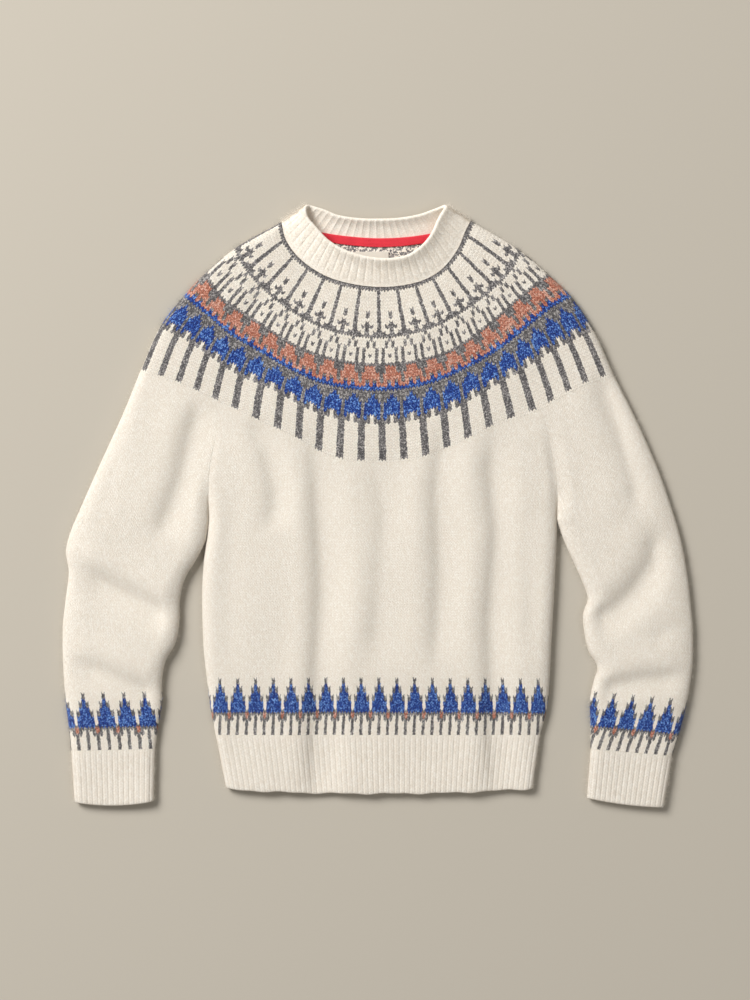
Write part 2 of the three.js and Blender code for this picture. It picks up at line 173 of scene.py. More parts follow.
RIGHT_SLEEVE = np.array([
    (309, -263.5, 223, -256), (317.5, -236, 223, -231), (324, -210, 222.5, -205), (328, -188, 226.5, -185),
    (330.5, -167, 230, -170), (331, -147, 221, -154), (330.5, -126, 217, -137), (328.5, -104, 215, -116),
    (326, -81, 220, -98), (323, -61, 214.5, -81), (319, -40, 206, -62), (313.5, -19, 195, -37),
    (307, 1, 187.5, -15),
])
LEFT_SHOULDER = [(-313.5, -3), (-298, 32), (-282, 67), (-268, 98), (-251, 140)]
RIGHT_SHOULDER = [(307, 1), (297, 30), (285, 59), (271, 90), (248, 136)]
CUFF_END = {"left": ((-320, -311.5), (-236.5, -310.5), -4), "right": ((300, -317), (219, -307), -2)}
HEM_FOOT = Line([(-160.5, -298), (-90, -301.5), (-10, -302.5), (80, -301.5), (162, -297.5)])


def front_ring(course):
    """The yoke's line on the front at a course counted from the neck seam."""
    at = [k for k, _ in FRONT_RINGS]
    spots = np.array([Line(points).at(np.linspace(0, 1, 41)) for _, points in FRONT_RINGS])
    return Line(spline(spots, [np.interp(course, at, range(len(at)))])[0])


def back_ring(course):
    """The same on the back, which starts and ends on the front's own shoulder edges."""
    front = front_ring(course)
    share = course / YOKE_COURSES
    f = np.linspace(0, 1, 41)
    own = BACK_NECK.at(f) * (1 - share) + BACK_FOOT.at(f) * share
    lean = (np.abs(2 * f - 1) ** 3)[:, None]
    ends = np.where(f[:, None] < 0.5, front.at([0.0]) - own[0], front.at([1.0]) - own[-1])
    return Line(own + ends * lean)


# ------------------------------------------------------------------ folds

# Soft folds of the front. Each drops by a depth over a short fall and comes back over a longer
# way, on the left hand of someone who walks along its points: (depth, fall, way back, points).
FRONT_FOLDS = [
    (3.6, 7, 34, (-145, 92), (-124, 58), (-114, 16), (-117, -34)),
    (5.6, 7, 46, (-78, 100), (-70, 16), (-65, -89), (-70, -173), (-72, -345)),
    (3.0, 8, 44, (-14, 60), (1, -5), (-4, -68), (-12, -180)),
    (4.4, 7, 42, (63, 100), (56, 16), (59, -68), (54, -190)),
    (5.2, 7, 40, (120, 110), (112, 37), (119, -26), (112, -121), (118, -335)),
    (1.2, 9, 30, (-158, 30), (-164, -60), (-160, -190)),
    (1.0, 8, 26, (154, 20), (150, -60), (158, -160)),
    (5.0, 8, 40, (-192, 120), (-198, 94), (-214, 26), (-240, -44)),
    (6.4, 7, 44, (-206, -120), (-214, -115), (-250, -94), (-287, -76), (-336, -54)),
    (4.6, 7, 34, (-222, -200), (-235, -194), (-287, -170), (-336, -155)),
    (4.8, 9, 40, (221, 146), (227, 126), (248, 73), (264, 21), (267, -18)),
    (6.0, 9, 40, (290, -14), (287, -31), (282, -58), (264, -84), (243, -105), (208, -119)),
    (4.2, 7, 32, (338, -173), (322, -175), (275, -178), (238, -186), (222, -190)),
    (1.6, 7, 22, (338, -116), (325, -121), (296, -131), (280, -138)),
    (1.4, 8, 26, (-276, 60), (-292, 10), (-306, -30)),
    (1.4, 8, 26, (-112, 250), (-128, 222), (-150, 190)),
    (1.4, 9, 26, (128, 236), (150, 196), (166, 166)),
]
# The same cloth folds on its underside too, where it lifts a little off the surface.
BACK_FOLDS = [
    (1.4, 8, 40, (-95, 150), (-88, 0), (-92, -280)),
    (1.2, 8, 40, (30, 60), (38, -80), (34, -290)),
    (1.2, 8, 36, (110, 90), (118, -40), (112, -250)),
    (1.4, 8, 36, (-206, -118), (-270, -98), (-336, -72)),
    (1.4, 8, 36, (336, -84), (270, -104), (206, -126)),
    (1.2, 8, 30, (-228, -190), (-280, -176), (-336, -166)),
    (1.2, 8, 30, (336, -180), (280, -184), (226, -178)),
]


def fold(x, y, folds):
    """How far the cloth sinks at a place, in one set of folds."""
    sunk = np.zeros_like(x)
    for depth, fall, way_back, *way in folds:
        spots = np.array(way, float)
        steps = np.diff(spots, axis=0)
        lengths = np.linalg.norm(steps, axis=1)
        before = np.concatenate([[0], np.cumsum(lengths)])
        nearest = np.full_like(x, 1e9)
        signed = np.zeros_like(x)
        share = np.zeros_like(x)
        for k, (dx, dy) in enumerate(steps):
            ax, ay = x - spots[k, 0], y - spots[k, 1]
            f = np.clip((ax * dx + ay * dy) / lengths[k] ** 2, 0, 1)
            away = np.hypot(ax - f * dx, ay - f * dy)
            side = np.where(dx * ay - dy * ax >= 0, 1.0, -1.0)
            closer = away < nearest
            nearest = np.where(closer, away, nearest)
            signed = np.where(closer, away * side, signed)
            share = np.where(closer, (before[k] + f * lengths[k]) / before[-1], share)
        fade = ease(share / 0.22) * ease((1 - share) / 0.22)
        drop = 0.5 * (1 + np.tanh(signed / fall)) * (1 - ease(signed / way_back))
        crest = 0.22 * np.exp(-(((signed + 2.2 * fall) / (1.8 * fall)) ** 2))
        sunk += depth * (drop - crest) * fade
    return sunk


def unevenness(x, y):
    """Slow swells of cloth that was smoothed out by hand."""
    return (
        0.45 * np.sin(x / 31 + 1.3) * np.sin(y / 43 + 0.4)
        + 0.30 * np.sin(x / 17 - y / 29 + 2.0)
        + 0.22 * np.sin(x / 11 + y / 13 + 0.7) * np.sin(y / 19)
    )


# ------------------------------------------------------------------ sections of the garment


def resample(points, count):
    """count + 1 points evenly spaced along a line in space."""
    steps = np.linalg.norm(np.diff(points, axis=0), axis=1)
    run = np.concatenate([[0], np.cumsum(steps)])
    want = np.linspace(0, run[-1], count + 1)
    return np.stack([np.interp(want, run, points[:, k]) for k in range(3)], axis=-1)


def layer(path, front, top, ends, count, folds=True):
    """The outer face of one layer across a section. Each end is (roll, edge height, groove, kept):
    over the roll's width the layer runs to that height, round like a rolled edge, or as a soft
    groove by the share given. kept is the share of the folds that is left at the very end."""
    f = np.linspace(0, 1, 900)
    f = np.clip(f - 0.48 * np.sin(2 * np.pi * f) / (2 * np.pi), 0, 1)  # finer steps near the rolled ends
    xy = path.at(f)
    d = f * path.length
    height = top if front else UNDERSIDE
    x, y = xy[:, 0], xy[:, 1]
    z = np.full_like(x, height)
    fade = np.ones_like(x)
    for (roll, edge, groove, kept), away in zip(ends, (d, path.length - d)):
        inside = np.clip(1 - away / roll, 0, 1)
        drop = (1 - np.sqrt(np.clip(1 - inside**2, 0, 1))) * (1 - groove) + ease(inside) * groove
        z += (edge - height) * drop
        fade *= ease(away / (roll * (1.2 - 0.4 * groove))) * (1 - kept) + kept
    if folds and front:
        # a fold never sinks into the layer below it
        room = height - (UNDERSIDE + 2 * CLOTH + CLEARANCE)
        sunk = fold(x, y, FRONT_FOLDS)
        sunk = sunk / (1 + (sunk / room) ** 6) ** (1 / 6)
        z -= (sunk + unevenness(x, y)) * fade
    elif folds:
        z += (np.maximum(fold(x, y, BACK_FOLDS), 0) + 0.25) * fade
    return resample(np.column_stack([x, y, z]), count)


def tube_section(front_path, back_path, top, roll, counts, folds=True):
    """Front layer from the left edge to the right one, then the back layer home again."""
    over = layer(front_path, True, top, [(roll, LEVEL, 0.0, 0.0)] * 2, counts[0], folds)
    under = layer(back_path, False, top, [(roll, LEVEL, 0.0, 0.0)] * 2, counts[1], folds)
    return np.concatenate([over, under[::-1][1:-1]])


def normals(grid, closed):
    """Outward normals of a grid of points, rows by columns."""
    along = np.gradient(grid, axis=0)
    if closed:
        over = np.roll(grid, -1, axis=1) - np.roll(grid, 1, axis=1)
    else:
        over = np.gradient(grid, axis=1, edge_order=2)
    n = np.cross(over, along)
    n /= np.maximum(np.linalg.norm(n, axis=-1, keepdims=True), 1e-9)
    centre = grid.mean(axis=1, keepdims=True)
    centre[..., 2] = LEVEL
    return n if (n * (grid - centre)).sum() > 0 else -n


# ------------------------------------------------------------------ turning sections into cloth


def swept(corners):
    """Six times the volume between the origin and a stack of faces: positive if they face out."""
    fans = range(1, corners.shape[1] - 1)
    corner = corners[:, 0]
    return sum(np.einsum("ij,ij->", corner, np.cross(corners[:, k], corners[:, k + 1])) for k in fans)


def skin(name, outer, inner, stitches, closed, rims=(0.0, 0.0), wrong_side=False):
    """A closed wall of cloth between two grids, with rims at its first and last row: rounded by
    the amounts given, or cut flat with a crisp edge where the amount is 0.
    stitches holds (u, v) for each grid column and row, one column more than a closed grid has."""
    rows, cols = outer.shape[:2]
    SURFACES[name] = (outer, stitches, closed)

    def rim(a, b, beyond, bulge):
        middle, half = (a + b) / 2, (a - b) / 2
        out = middle - beyond
        out /= np.maximum(np.linalg.norm(out, axis=-1, keepdims=True), 1e-9)
        size = np.linalg.norm(half, axis=-1, keepdims=True) * bulge
        return [middle + half * math.cos(t) + out * size * math.sin(t) for t in (0.785, 1.571, 2.356)]

    last = rim(outer[-1], inner[-1], (outer[-2] + inner[-2]) / 2, rims[1])
    first = rim(inner[0], outer[0], (outer[1] + inner[1]) / 2, rims[0])
    loop = np.concatenate([outer, last, inner[::-1], first])
    row_of = [*range(rows), *[rows - 1] * 3, *range(rows - 1, -1, -1), *[0] * 3]
    total = len(loop)
    points = loop.reshape(-1, 3)
    i, j = np.meshgrid(np.arange(total), np.arange(cols if closed else cols - 1), indexing="ij")
    i2, j2 = (i + 1) % total, (j + 1) % cols
    quads = np.stack([i * cols + j, i * cols + j2, i2 * cols + j2, i2 * cols + j], axis=-1).reshape(-1, 4)
    v_of = np.array(row_of)
    u_grid, v_grid = stitches
    at_row = v_of[i], v_of[i2]
    # the rim from the last inner row back to the first outer row keeps the first row's place
    corner = [
        (u_grid[at_row[0], j], v_grid[at_row[0], j]),
        (u_grid[at_row[0], j + 1], v_grid[at_row[0], j + 1]),
        (u_grid[at_row[1], j + 1], v_grid[at_row[1], j + 1]),
        (u_grid[at_row[1], j], v_grid[at_row[1], j]),
    ]
    uv = np.stack([np.stack(c, axis=-1) for c in corner], axis=-2).reshape(-1, 4, 2)
    hidden = ((i >= rows) & (i < 2 * rows + 3)).reshape(-1)
    last_rim, first_rim = (i >= rows - 1) & (i <= rows + 2), i >= 2 * rows + 2
    crisp = ((last_rim & (rims[1] == 0)) | (first_rim & (rims[0] == 0))).reshape(-1)
    faces = quads.tolist()
    loops = uv.tolist()
    if not closed:
        # both loose sides are closed by strips between the outer and inner grid
        for col in (0, cols - 1):
            for r in range(rows - 1):
                back, back2 = 2 * rows + 2 - r, 2 * rows + 1 - r
                strip = [r * cols + col, (r + 1) * cols + col, back2 * cols + col, back * cols + col]
                spot = [u_grid[r, col], v_grid[r, col]]
                faces.append(strip if col == 0 else strip[::-1])
                loops.append([spot] * 4)
            for start in (rows - 1, 2 * rows + 2):
                ring = [k % total for k in range(start, start + 5)]
                cap = [k * cols + col for k in ring]
                faces.append(cap if col == 0 else cap[::-1])
                loops.append([[u_grid[v_of[ring[0]], col], v_grid[v_of[ring[0]], col]]] * 5)
        extra = len(faces) - len(hidden)
        hidden = np.concatenate([hidden, np.zeros(extra, bool)])
        crisp = np.concatenate([crisp, np.ones(extra, bool)])
    if swept(points[quads]) + sum(swept(points[[face]]) for face in faces[len(quads):]) < 0:
        faces = [f[::-1] for f in faces]
        loops = [f[::-1] for f in loops]
    return cloth_object(name, points, faces, loops, crisp, hidden if wrong_side else None)


SURFACES = {}  # each piece's outer grid and its stitch map, for the fibres that stand on it


def fibres(name, count, seed):
    """Fine wool hairs that stand off a piece, most of them at its rolled edges: each a thin
    three-sided strand of two bent lengths, closed at both ends."""
    grid, (u_grid, v_grid), closed = SURFACES[name]
    rng = np.random.default_rng(seed)
    out = normals(grid, closed)
    rows, cols = grid.shape[0] - 1, grid.shape[1] - (0 if closed else 1)
    after = (np.arange(cols) + 1) % grid.shape[1]
    low, high = grid[:-1], grid[1:]
    area = np.linalg.norm(np.cross(high[:, :cols] - low[:, :cols], low[:, after] - low[:, :cols]), axis=-1)
    lean = out[:-1, :cols, 2]
    weight = area * (0.10 + 2.2 * np.clip(1 - lean**2, 0, 1) ** 2) * (lean > -0.35)
    chosen = rng.choice(rows * cols, count, p=weight.ravel() / weight.sum())
    i, j = np.divmod(chosen, cols)
    f, g = rng.random((2, count))
    j2 = after[j]

    def between(values, j_next):
        mix = [(1 - f) * (1 - g), (1 - f) * g, f * (1 - g), f * g]
        spots = [values[i, j], values[i, j_next], values[i + 1, j], values[i + 1, j_next]]
        return sum(m.reshape(-1, *([1] * (spots[0].ndim - 1))) * x for m, x in zip(mix, spots))

    root, away = between(grid, j2), between(out, j2)
    stray = rng.normal(size=(3, count, 3))
    away = away + 0.55 * stray[0]
    away /= np.linalg.norm(away, axis=1, keepdims=True)
    length = np.clip(1.2 + rng.exponential(1.3, (count, 1)), 0, 5.5)
    bend = root + away * length * 0.5 + 0.12 * length * stray[1]
    spine = [root - 0.4 * away, bend, root + away * length + 0.3 * length * stray[2]]
    side = np.cross(away, stray[1])
    side /= np.linalg.norm(side, axis=1, keepdims=True)
    other = np.cross(away, side)
    points = np.empty((count, 9, 3))
    for ring, (spot, radius) in enumerate(zip(spine, (0.07, 0.06, 0.03))):
        for k in range(3):
            turn = 2 * math.pi * k / 3
            points[:, 3 * ring + k] = spot + radius * (side * math.cos(turn) + other * math.sin(turn))
    points[..., 2] = np.maximum(points[..., 2], 0.1 + 0.01 * np.arange(9))
    sides = [(3 * ring + k, 3 * ring + (k + 1) % 3) for ring in (0, 1) for k in range(3)]
    shape = [[a, b, b + 3, a + 3] for a, b in sides] + [[0, 2, 1], [6, 7, 8]]
    faces = [[9 * hair + k for k in face] for hair in range(count) for face in shape]
    u, v = between(u_grid, j + 1), between(v_grid, j + 1)
    loops = [[(u[hair], v[hair])] * len(face) for hair in range(count) for face in shape]
    return cloth_object(name + "_fibres", points.reshape(-1, 3), faces, loops, np.zeros(len(faces), bool))


def cloth_object(name, points, faces, loops, crisp, hidden=None):
    mesh = bpy.data.meshes.new(name)
    mesh.from_pydata(((points + TO_FRAME) / 1000).tolist(), [], faces)
    stitch_map = mesh.uv_layers.new(name="stitches")
    flat = [number for face in loops for spot in face for number in spot]
    stitch_map.data.foreach_set("uv", np.array(flat, np.float32))
    mesh.polygons.foreach_set("use_smooth", ~crisp)
    # the edges of a flat rim are sharp, so the rim doesn't bend the shading of the cloth beside it
    edge_of = np.empty(len(mesh.loops), np.int32)
    mesh.loops.foreach_get("edge_index", edge_of)
    sharp = np.zeros(len(mesh.edges), bool)
    sharp[edge_of[np.repeat(crisp, [len(face) for face in faces])]] = True
    mesh.edges.foreach_set("use_edge_sharp", sharp)
    if hidden is not None:
        mesh.polygons.foreach_set("material_index", hidden.astype(np.int32))
    mesh.update()
    made = bpy.data.objects.new(name, mesh)
    bpy.context.scene.collection.objects.link(made)
    return made


def wall(grid, closed, thickness):
    """Outer grid and the inner one that a plain cloth of that thickness has."""
    return grid, grid - normals(grid, closed) * thickness


def climb(grid):
    """How far each point lies along its column, from the first row."""
    steps = np.linalg.norm(np.diff(grid, axis=0), axis=2)
    return np.concatenate([np.zeros((1, grid.shape[1])), np.cumsum(steps, axis=0)])


def row_run(grid):
    """How far each point lies along its row, from the first column."""
    steps = np.linalg.norm(np.diff(grid, axis=1), axis=2)
    return np.concatenate([np.zeros((len(grid), 1)), np.cumsum(steps, axis=1)], axis=1)


# ------------------------------------------------------------------ heights of the loft

YOKE_TOP = 11.4
HEM_TOP = 9.0
CUFF_TOPS = (HEM_TOP + 0.2, 8.8)  # at the seam and at the cuff's edge
SEAM_GROOVES = [(1.0, 6.0), (2.4, 9.0)]  # depth and half width of the left and right armhole seam


def body_top(y):
    return HEM_TOP + (YOKE_TOP + 0.4 - HEM_TOP) * ease((y + 241.5) / 70)


# ------------------------------------------------------------------ the pieces


def make_yoke():
    courses = np.linspace(0.1, YOKE_COURSES - 0.02, 92)
    counts = (252, 160)
    rows = []
    for course in courses:
        top = NECK_TOP + (YOKE_TOP - NECK_TOP) * ease(course / 22)
        roll = 8 + 5 * ease(course / YOKE_COURSES)
        rows.append(tube_section(front_ring(course), back_ring(course), top, roll, counts, course > 2))
    grid = np.array(rows)
    outer, inner = wall(grid, True, CLOTH)
    s = np.concatenate([np.arange(counts[0]) / counts[0], 1 + np.arange(counts[1] + 1) / counts[1]])
    u = np.tile(s, (len(rows), 1))
    v = np.tile(courses[:, None], (1, u.shape[1]))
    return skin("round_yoke", outer, inner, (u, v), True, wrong_side=True)


def body_rows(front):
    """Paths and end shapes of a body panel's sections, from the hem seam up to the yoke."""
    foot = front_ring(YOKE_COURSES) if front else back_ring(YOKE_COURSES)
    top_line = foot.stretch(*CORNERS)
    sides = ((LEFT_SEAM, 0.0), (RIGHT_SEAM, 1.0))
    seams = [Line([*seam, tuple(top_line.at([end])[0])]) for seam, end in sides]
    sections = []
    spread = np.interp(np.arange(-241.5, -15, 3.0), BODY_SIDES[:, 0], np.arange(len(BODY_SIDES)))
    edges = spline(BODY_SIDES, spread)
    for y, left, right in edges:
        path = Line([(left, y), (right, y)], smooth=False)
        sections.append((path, body_top(y), [(14.0, LEVEL, 0.0, 0.0)] * 2))
    for f in np.linspace(0, 1, 40):
        shut = ease(f / 0.35)
        height = body_top(0) - CLEARANCE * ease((f - 0.75) / 0.25)
        ends = []
        for depth, width in SEAM_GROOVES:
            meets = ease((f - 0.5) / 0.5)  # the groove runs out before it meets the yoke
            seam_height = height - depth * (1 - meets) if front else UNDERSIDE + CLEARANCE
            edge = LEVEL + (seam_height - LEVEL) * shut
            ends.append((14 + (width - 14) * shut, edge, shut, shut * (0.5 + 0.5 * meets)))
        p = seams[0].at([f])[0] + (SEAM_SIDE, 0)
        q = seams[1].at([f])[0] - (SEAM_SIDE, 0)
        path = bowed(p, q, top_line, ease(f))
        sections.append((path, height, ends))
    return sections


def make_body(name, front):
    cols = 150 if front else 90
    grid = np.array([layer(path, front, top, ends, cols) for path, top, ends in body_rows(front)])
    outer, inner = wall(grid, False, CLOTH)
    across = row_run(grid)
    middle = across[:, -1:] * 0.502
    u = (across - middle) * (BODY_STITCHES / across[0, -1]) + TREE_AT
    v = TREE_BAND - climb(grid) / COURSE
    return skin(name, outer, inner, (u, v), False)


def make_sleeve(name, edges, shoulder, seam, hand, pitch):
    """A sleeve from its cuff up to the yoke: hand is -1 or 1, pitch is the width of a stitch."""
    foot = {True: front_ring(YOKE_COURSES), False: back_ring(YOKE_COURSES)}
    corner = CORNERS[0] if hand < 0 else CORNERS[1]
    outside = Line(shoulder)
    cols = (84, 60)
    lower = spline(edges, np.linspace(0, len(edges) - 1, 84)[:-1])
    sections = []
    for k, (outer_x, outer_y, inner_x, inner_y) in enumerate(lower):
        share = k / len(lower)
        top = HEM_TOP + 0.2 + 3.6 * ease(share / 0.35)
        path = Line([(inner_x, inner_y), (outer_x, outer_y)], smooth=False)
        fold_roll = 13.0 + 5 * ease(share / 0.4)
        over, under = ((fold_roll, LEVEL + half, 0.0, 0.0) for half in (HAIRLINE, -HAIRLINE))
        sections.append(({True: path, False: path}, top, over, under, 12 + 18 * ease(share / 0.4)))
    depth, width = SEAM_GROOVES[0 if hand < 0 else 1]
    for f in np.linspace(0, 1, 52):
        shut = ease(f / 0.35)
        top = SLEEVE_TOP + (YOKE_TOP - SLEEVE_TOP) * ease(f)
        paths = {}
        for front in (True, False):
            line = foot[front].stretch(corner, 0 if hand < 0 else 1)
            start = Line([*seam, tuple(line.at([0.0])[0])]).at([f])[0] + (SEAM_SIDE * hand, 0)
            paths[front] = bowed(start, outside.at([f])[0], line, ease(f))
        meets = ease((f - 0.5) / 0.5)
        depth_here = depth * (1 - meets) + (top - body_top(0)) * (1 - ease(f / 0.9))
        kept = shut * (0.5 + 0.5 * meets)
        over_edge = LEVEL + HAIRLINE + (top - depth_here - LEVEL - HAIRLINE) * shut
        under_edge = LEVEL - HAIRLINE + (UNDERSIDE + CLEARANCE - LEVEL + HAIRLINE) * shut
        over = (SLEEVE_FOLD_ROLL + (1.8 * width - SLEEVE_FOLD_ROLL) * shut, over_edge, shut, kept)
        under = (SLEEVE_FOLD_ROLL + (6 - SLEEVE_FOLD_ROLL) * shut, under_edge, shut, kept)
        sections.append((paths, top, over, under, 30 - 17 * ease(f)))
    rows = []
    for paths, top, end, under_end, roll in sections:
        over = layer(paths[True], True, top, [end, (roll, LEVEL, 0.0, 0.0)], cols[0])
        under = layer(paths[False], False, top, [under_end, (min(roll, 16), LEVEL, 0.0, 0.0)], cols[1])
        rows.append(np.concatenate([over, under[::-1][1:]]))
    grid = np.array(rows)
    outer, inner = wall(grid, False, CLOTH)
    across = row_run(grid)
    fold_line = across[:, cols[0] : cols[0] + 1]
    u = (across - fold_line) / pitch + TREE_AT
    v = TREE_BAND - climb(grid) / COURSE
    return skin(name, outer, inner, (u, v), False)


def ridges(s, ribs):
    """Height of a rib's rounded ridge, 0 in the valley and 1 on top, at fraction s of the ring."""
    c = 2 * ((s * ribs) % 1.0) - 1
    return (1 - np.abs(c) ** 2.6) ** 0.7


def make_rib_ring(name, paths, ribs, tops, roll):
    """Hem or cuff: a ring of rib from its seam down to the garment's lower edge. tops are the
    heights of its upper face at the two, roll the width of its rolled sides."""
    steps = 24
    front_cols, back_cols = ribs * 9, ribs * 5
    rows = []
    for k in range(steps + 1):
        f = k / steps
        path = paths(f)
        top = tops[0] + (tops[1] - tops[0]) * ease(f * 2)
        rows.append(tube_section(path, path, top, roll - 4.5 * f, (front_cols, back_cols)))
    grid = np.array(rows)
    f = np.linspace(0, 1, steps + 1)[:, None]
    out = normals(grid, True)
    cols = grid.shape[1]
    s = np.concatenate([np.arange(front_cols) / front_cols, 1 + np.arange(back_cols + 1) / back_cols])
    strength = ease(f / 0.12) * (1 - 0.25 * ease((f - 0.93) / 0.07))
    lift = RIB_HEIGHT * ridges(s[:cols], ribs)[None, :] * strength
    fade_under = np.where(np.arange(cols) < front_cols, 1.0, 0.45)[None, :]
    outer = grid + out * ((lift - 0.6 * RIB_HEIGHT * strength) * fade_under)[..., None]
    outer[..., 2] = np.maximum(outer[..., 2], 0.15)
    inner = grid - out * (RIB_CLOTH + 0.2)
    u = np.tile(s * ribs, (len(grid), 1))
    v = np.tile(-f * np.linalg.norm(grid[-1] - grid[0], axis=1).mean() / COURSE, (1, cols + 1))
    return skin(name, outer, inner, (u, v), True, rims=(0.0, 0.9))


def hem_path(f):
    y, left, right = BODY_SIDES[0]
    top = np.array([(left, y - 0.05), (right, y - 0.05)])
    foot = HEM_FOOT.at([0.0, 1.0])
    ends = top * (1 - f) + foot * f
    path = bowed(ends[0], ends[1], HEM_FOOT, f)
    # the knitted edge wavers a little
    path.spots[:, 1] += f * (0.6 * np.sin(path.spots[:, 0] / 9) + 0.4 * np.sin(path.spots[:, 0] / 4.3 + 1))
    return path


def cuff_path(edges, side):
    outer_end, inner_end, sag = CUFF_END[side]
    first = edges[0]
    top = np.array([(first[2], first[3] - 0.05), (first[0], first[1] - 0.05)])
    end = np.array([inner_end, outer_end])
    if side == "left":
        top, end = top[::-1], end[::-1]

    def path(f):
        u = np.linspace(0, 1, 60)[:, None]
        a = top[0] * (1 - u) + top[1] * u
        b = end[0] * (1 - u) + end[1] * u
        swell = np.concatenate([np.zeros_like(u), 4 * u * (1 - u) * sag * f], axis=1)
        return Line(a * (1 - f) + b * f + swell, smooth=False)

    return path


def make_collar():
    steps = 26
    ribs = (29, 24)
    counts = (ribs[0] * 12, ribs[1] * 12)
    front = front_ring(0).stretch(0.008, 0.992)
    base = tube_section(front, back_ring(0), NECK_TOP - COLLAR_HALF, 7.0, counts, False)
    base[:, 2] = np.maximum(base[:, 2], UNDERSIDE + COLLAR_HALF + 0.2)
    f_front = np.arange(counts[0] + 1) / counts[0]
    f_back = np.arange(counts[1] + 1) / counts[1]
    edge_front, edge_back = COLLAR_FRONT.at(f_front), COLLAR_BACK.at(f_back)
    edge = np.concatenate([edge_front, edge_back[::-1][1:-1]])
    level = np.repeat(COLLAR_LEVELS, (counts[0] + 1, counts[1] - 1))
    # round the two folds of the open edge: each side gives where its line is left, in how many
    # columns, and at which height
    total = len(edge)
    for tip, end in ((0, 0), (counts[0], 1)):
        sides = []
        for line, count, height in zip((COLLAR_FRONT, COLLAR_BACK), counts, COLLAR_LEVELS):
            share = COLLAR_TIPS / line.length
            sides.append((line.at([abs(end - share)])[0], int(share * count), height))
        (a, before, z_a), (c, after, z_c) = sides[::-1] if end == 0 else sides
        b = edge[tip].copy()
        for k in range(-before, after + 1):
            t = (k + before) / (before + after)
            edge[(tip + k) % total] = a * (1 - t) ** 2 + 2 * b * t * (1 - t) + c * t * t
            level[(tip + k) % total] = z_a + (z_c - z_a) * ease(t)
    rise = np.linspace(0.012, 1, steps + 1)[:, None, None]
    out = ease(rise) * 0.25 + rise * 0.75
    target = np.column_stack([edge, level])[None]
    grid = base[None] * (1 - out) + target * out
    grid[..., 2] += COLLAR_RISE * rise[..., 0] ** 1.5
    s = np.concatenate([np.arange(counts[0]) / counts[0], 1 + np.arange(counts[1] + 1) / counts[1]])
    n = normals(grid, True)
    cols = grid.shape[1]
    ribbing = np.where(s[:cols] < 1, ridges(s[:cols], ribs[0]), ridges(s[:cols] - 1, ribs[1]))
    strength = ease((rise[..., 0] - 0.1) / 0.22) * (1 - 0.3 * ease((rise[..., 0] - 0.95) / 0.05))
    lift = ribbing[None, :] * strength
    plump = COLLAR_HALF - 0.45 + 0.7 * ease((rise[..., 0] - 0.6) / 0.4)  # the open edge is the thickest
    outer = grid + n * (plump + 0.2 + 0.45 * lift)[..., None]
    inner = grid - n * (plump + 0.2 + 0.45 * (1 - ribbing)[None, :] * strength)[..., None]
    u = np.tile(np.where(s < 1, s * ribs[0], ribs[0] + (s - 1) * ribs[1]), (len(grid), 1))
    v = np.tile(-rise[..., 0] * COLLAR_DEPTH / COURSE, (1, cols + 1))
    return skin("collar", outer, inner, (u, v), True, rims=(0.0, 1.0))


def make_tape():
    f = np.linspace(0.13, 0.85, 121)
    seam = BACK_NECK.at(f)
    out = COLLAR_BACK.at(f) - seam
    out /= np.linalg.norm(out, axis=1, keepdims=True)
    reach = np.linspace(-3.3, 5.4, 15)
    thick = 0.8
    rows = []
    for k, r in enumerate(reach):
        xy = seam + out * r
        z = 4.1 + 0.16 * (r + 3.3) + 0.18 * math.sin(math.pi * k / (len(reach) - 1))
        z = z + 0.12 * np.sin(f * 60) + 0.1 * np.sin(f * 23 + 1)
        rows.append(np.column_stack([xy, z]))
    grid = np.array(rows)
    outer, inner = wall(grid, False, thick)
    if outer[..., 2].mean() < inner[..., 2].mean():
        outer, inner = inner, outer
    u = row_run(grid)
    v = np.tile((reach - reach[0])[:, None], (1, grid.shape[1]))
    return skin("back_neck_tape", outer, inner, (u, v), False, rims=(0.6, 0.6))


def make_label():
    y = np.linspace(266.6, 254.4, 21)
    x = np.linspace(-25.6, 10.6, 61)
    gx, gy = np.meshgrid(x, y)
    lift = 4.15 + 0.35 * np.sin((gx + 25.6) / 36.2 * math.pi) + 0.12 * np.sin(gx / 5)
    tilt = 0.02 * (gx + 7)
    grid = np.stack([gx, gy + tilt, lift], axis=-1)
    outer, inner = grid, grid - np.array([0, 0, 0.55])
    return skin("blank_label", outer, inner, (gx, gy), False, rims=(0.8, 0.8))


# ------------------------------------------------------------------ materials


def linear(hex_colour):
    """An sRGB colour such as "EEE8DC" as linear red, green and blue, with alpha."""
    channels = [int(hex_colour[k : k + 2], 16) / 255 for k in (0, 2, 4)]
    return [c / 12.92 if c <= 0.04045 else ((c + 0.055) / 1.055) ** 2.4 for c in channels] + [1.0]


def add(tree, kind, inputs=None, out=0, **settings):
    """Adds a node with its settings, sets or links its inputs, and gives one of its outputs."""
    node = tree.nodes.new(kind)
    for key, value in settings.items():
        setattr(node, key, value)
    for key, value in (inputs or {}).items():
        if isinstance(value, bpy.types.NodeSocket):
            tree.links.new(value, node.inputs[key])
        else:
            node.inputs[key].default_value = value
    return node.outputs[out]


MIX, NOISE, VECTOR = "ShaderNodeMix", "ShaderNodeTexNoise", "ShaderNodeVectorMath"


def calc(tree, operation, *numbers):
    """One sum on numbers or sockets."""
    return add(tree, "ShaderNodeMath", dict(enumerate(numbers)), operation=operation)


def split(tree, vector):
    """The first and second number of a vector."""
    first = add(tree, "ShaderNodeSeparateXYZ", {0: vector})
    return first, first.node.outputs[1]


